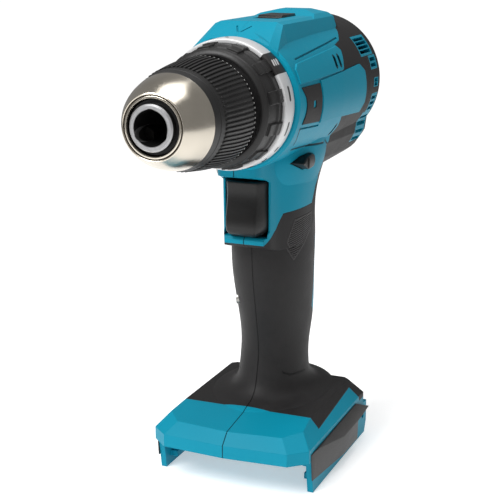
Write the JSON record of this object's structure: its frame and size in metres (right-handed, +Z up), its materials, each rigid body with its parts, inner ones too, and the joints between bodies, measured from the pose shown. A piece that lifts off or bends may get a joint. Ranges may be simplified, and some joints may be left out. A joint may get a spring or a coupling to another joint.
{
  "type": "cordless drill driver",
  "caption": "Pistol-grip battery drill driver with a keyless three-jaw chuck, torque collar, speed slider, direction lever and a foot that takes a slide-on battery.",
  "frame": {"origin": "bottom centre of the whole tool's bounding box, on the table under the foot rails", "axes": "+X towards the chuck's nose, +Y to the tool's left, +Z up; the chuck axis lies along X at Z = 165 mm"},
  "size_m": [0.182, 0.0788, 0.1988],
  "materials": {
    "shell_plastic": "fine satin grain",
    "grip_rubber": "matt elastomer",
    "dark_plastic": "satin",
    "trigger_plastic": "satin",
    "band_silver": "satin silver",
    "chuck_steel": "satin nickel",
    "jaw_steel": "dark hardened",
    "steel": "machined",
    "gear_case_alloy": "cast",
    "spring_steel": "bright wire",
    "laminations": "dark laminated",
    "magnet": "sintered",
    "copper": "enamelled copper",
    "contact_metal": "plated",
    "carbon": "pressed carbon",
    "lead_red": "insulated",
    "lead_black": "insulated",
    "bearing_bronze": "sintered bronze"
  },
  "bodies": {
    "tool_body": {"housing_left": "shell_plastic", "housing_right": "shell_plastic", "grip_left": "grip_rubber", "grip_right": "grip_rubber", "rear_cover": "shell_plastic", "rear_bumper": "grip_rubber", "side_inserts": "grip_rubber", "foot_pads": "grip_rubber", "housing_screws": "steel", "gear_case": "gear_case_alloy", "front_ring_gear": "steel", "rear_ring_gear": "dark_plastic", "spindle_bearing": "bearing_bronze", "retaining_ring": "spring_steel", "clutch_plate": "steel", "clutch_spring": "spring_steel", "motor_can": "steel", "motor_magnets": "magnet", "motor_bearings": "bearing_bronze", "brush_holder": "dark_plastic", "brushes": "carbon", "switch_body": "dark_plastic", "trigger_spring": "spring_steel", "terminal_block": "dark_plastic", "terminal_blades": "contact_metal", "battery_leads": "lead_red", "motor_leads": "lead_black"},
    "speed_shift": {"speed_selector": "dark_plastic", "shift_fork": "spring_steel", "shift_ring_gear": "steel"},
    "direction_lever": {"direction_lever": "trigger_plastic"},
    "trigger": {"trigger": "trigger_plastic"},
    "torque_collar": {"torque_ring": "dark_plastic", "torque_band": "band_silver"},
    "clutch_nut": {"clutch_nut": "dark_plastic"},
    "spindle": {"spindle": "steel", "chuck_body": "chuck_steel", "chuck_screw": "jaw_steel"},
    "carrier_2": {"carrier_2": "steel"},
    "carrier_1": {"carrier_1": "steel"},
    "rotor": {"motor_shaft": "steel", "rotor_core": "laminations", "rotor_windings": "copper", "commutator": "contact_metal", "cooling_fan": "dark_plastic"},
    "chuck_collar": {"chuck_sleeve": "dark_plastic", "chuck_nose": "chuck_steel", "chuck_nut": "steel"},
    "planet_1_a": {"planet_1_a": "dark_plastic"},
    "planet_1_b": {"planet_1_b": "dark_plastic"},
    "planet_1_c": {"planet_1_c": "dark_plastic"},
    "planet_2_a": {"planet_2_a": "steel"},
    "planet_2_b": {"planet_2_b": "steel"},
    "planet_2_c": {"planet_2_c": "steel"},
    "planet_3_a": {"planet_3_a": "steel"},
    "planet_3_b": {"planet_3_b": "steel"},
    "planet_3_c": {"planet_3_c": "steel"},
    "chuck_jaw_a": {"chuck_jaw_a": "jaw_steel"},
    "chuck_jaw_b": {"chuck_jaw_b": "jaw_steel"},
    "chuck_jaw_c": {"chuck_jaw_c": "jaw_steel"}
  },
  "joints": [
    {"name": "spindle_spin", "type": "hinge", "parent": "tool_body", "child": "spindle", "pos_m": [0.0455, 0, 0.165], "axis": [1, 0, 0], "continuous": true},
    {"name": "carrier_2_spin", "type": "hinge", "parent": "tool_body", "child": "carrier_2", "pos_m": [0.002, 0, 0.165], "axis": [1, 0, 0], "continuous": true},
    {"name": "carrier_1_spin", "type": "hinge", "parent": "tool_body", "child": "carrier_1", "pos_m": [-0.009, 0, 0.165], "axis": [1, 0, 0], "continuous": true},
    {"name": "rotor_spin", "type": "hinge", "parent": "tool_body", "child": "rotor", "pos_m": [-0.05, 0, 0.165], "axis": [1, 0, 0], "continuous": true},
    {"name": "torque_turn", "type": "hinge", "parent": "tool_body", "child": "torque_collar", "pos_m": [0.03, 0, 0.165], "axis": [1, 0, 0], "range_deg": [0, 300]},
    {"name": "clutch_nut_slide", "type": "slide", "parent": "tool_body", "child": "clutch_nut", "axis": [-1, 0, 0], "range_m": [0, 0.003], "deforming": ["clutch_spring"]},
    {"name": "trigger_pull", "type": "slide", "parent": "tool_body", "child": "trigger", "axis": [-1, 0, 0], "range_m": [0, 0.007], "stiffness_N_per_m": 600, "springref_m": -0.004, "deforming": ["trigger_spring"]},
    {"name": "direction_slide", "type": "slide", "parent": "tool_body", "child": "direction_lever", "axis": [0, 1, 0], "range_m": [-0.003, 0.003]},
    {"name": "speed_slide", "type": "slide", "parent": "tool_body", "child": "speed_shift", "axis": [1, 0, 0], "range_m": [0, 0.005]},
    {"name": "chuck_turn", "type": "hinge", "parent": "spindle", "child": "chuck_collar", "pos_m": [0.06, 0, 0.165], "axis": [1, 0, 0], "range_deg": [0, 1800]},
    {"name": "planet_1_a_spin", "type": "hinge", "parent": "carrier_1", "child": "planet_1_a", "pos_m": [-0.014, 0.01238, 0.165], "axis": [1, 0, 0], "continuous": true},
    {"name": "planet_1_b_spin", "type": "hinge", "parent": "carrier_1", "child": "planet_1_b", "pos_m": [-0.014, -0.00619, 0.17572], "axis": [1, 0, 0], "continuous": true},
    {"name": "planet_1_c_spin", "type": "hinge", "parent": "carrier_1", "child": "planet_1_c", "pos_m": [-0.014, -0.00619, 0.15428], "axis": [1, 0, 0], "continuous": true},
    {"name": "planet_2_a_spin", "type": "hinge", "parent": "carrier_2", "child": "planet_2_a", "pos_m": [-0.003, 0.01238, 0.165], "axis": [1, 0, 0], "continuous": true},
    {"name": "planet_2_b_spin", "type": "hinge", "parent": "carrier_2", "child": "planet_2_b", "pos_m": [-0.003, -0.00619, 0.17572], "axis": [1, 0, 0], "continuous": true},
    {"name": "planet_2_c_spin", "type": "hinge", "parent": "carrier_2", "child": "planet_2_c", "pos_m": [-0.003, -0.00619, 0.15428], "axis": [1, 0, 0], "continuous": true},
    {"name": "planet_3_a_spin", "type": "hinge", "parent": "spindle", "child": "planet_3_a", "pos_m": [0.008, 0.01238, 0.165], "axis": [1, 0, 0], "continuous": true},
    {"name": "planet_3_b_spin", "type": "hinge", "parent": "spindle", "child": "planet_3_b", "pos_m": [0.008, -0.00619, 0.17572], "axis": [1, 0, 0], "continuous": true},
    {"name": "planet_3_c_spin", "type": "hinge", "parent": "spindle", "child": "planet_3_c", "pos_m": [0.008, -0.00619, 0.15428], "axis": [1, 0, 0], "continuous": true},
    {"name": "chuck_jaw_a_slide", "type": "slide", "parent": "spindle", "child": "chuck_jaw_a", "axis": [0.9659, 0, -0.2588], "range_m": [0, 0.0222]},
    {"name": "chuck_jaw_b_slide", "type": "slide", "parent": "spindle", "child": "chuck_jaw_b", "axis": [0.9659, 0.2241, 0.1294], "range_m": [0, 0.0222]},
    {"name": "chuck_jaw_c_slide", "type": "slide", "parent": "spindle", "child": "chuck_jaw_c", "axis": [0.9659, -0.2241, 0.1294], "range_m": [0, 0.0222]}
  ],
  "couplings": [
    {"joint": "carrier_1_spin", "follows": "rotor_spin", "ratio": 0.27273},
    {"joint": "carrier_2_spin", "follows": "rotor_spin", "ratio": 0.07438},
    {"joint": "spindle_spin", "follows": "rotor_spin", "ratio": 0.020286},
    {"joint": "planet_1_a_spin", "follows": "rotor_spin", "ratio": -0.87273},
    {"joint": "planet_1_b_spin", "follows": "rotor_spin", "ratio": -0.87273},
    {"joint": "planet_1_c_spin", "follows": "rotor_spin", "ratio": -0.87273},
    {"joint": "planet_2_a_spin", "follows": "rotor_spin", "ratio": -0.23802},
    {"joint": "planet_2_b_spin", "follows": "rotor_spin", "ratio": -0.23802},
    {"joint": "planet_2_c_spin", "follows": "rotor_spin", "ratio": -0.23802},
    {"joint": "planet_3_a_spin", "follows": "rotor_spin", "ratio": -0.064914},
    {"joint": "planet_3_b_spin", "follows": "rotor_spin", "ratio": -0.064914},
    {"joint": "planet_3_c_spin", "follows": "rotor_spin", "ratio": -0.064914},
    {"joint": "chuck_jaw_a_slide", "follows": "chuck_turn", "m_per_rad": 0.00070665},
    {"joint": "chuck_jaw_b_slide", "follows": "chuck_turn", "m_per_rad": 0.00070665},
    {"joint": "chuck_jaw_c_slide", "follows": "chuck_turn", "m_per_rad": 0.00070665},
    {"joint": "clutch_nut_slide", "follows": "torque_turn", "m_per_rad": 0.00057296}
  ]
}
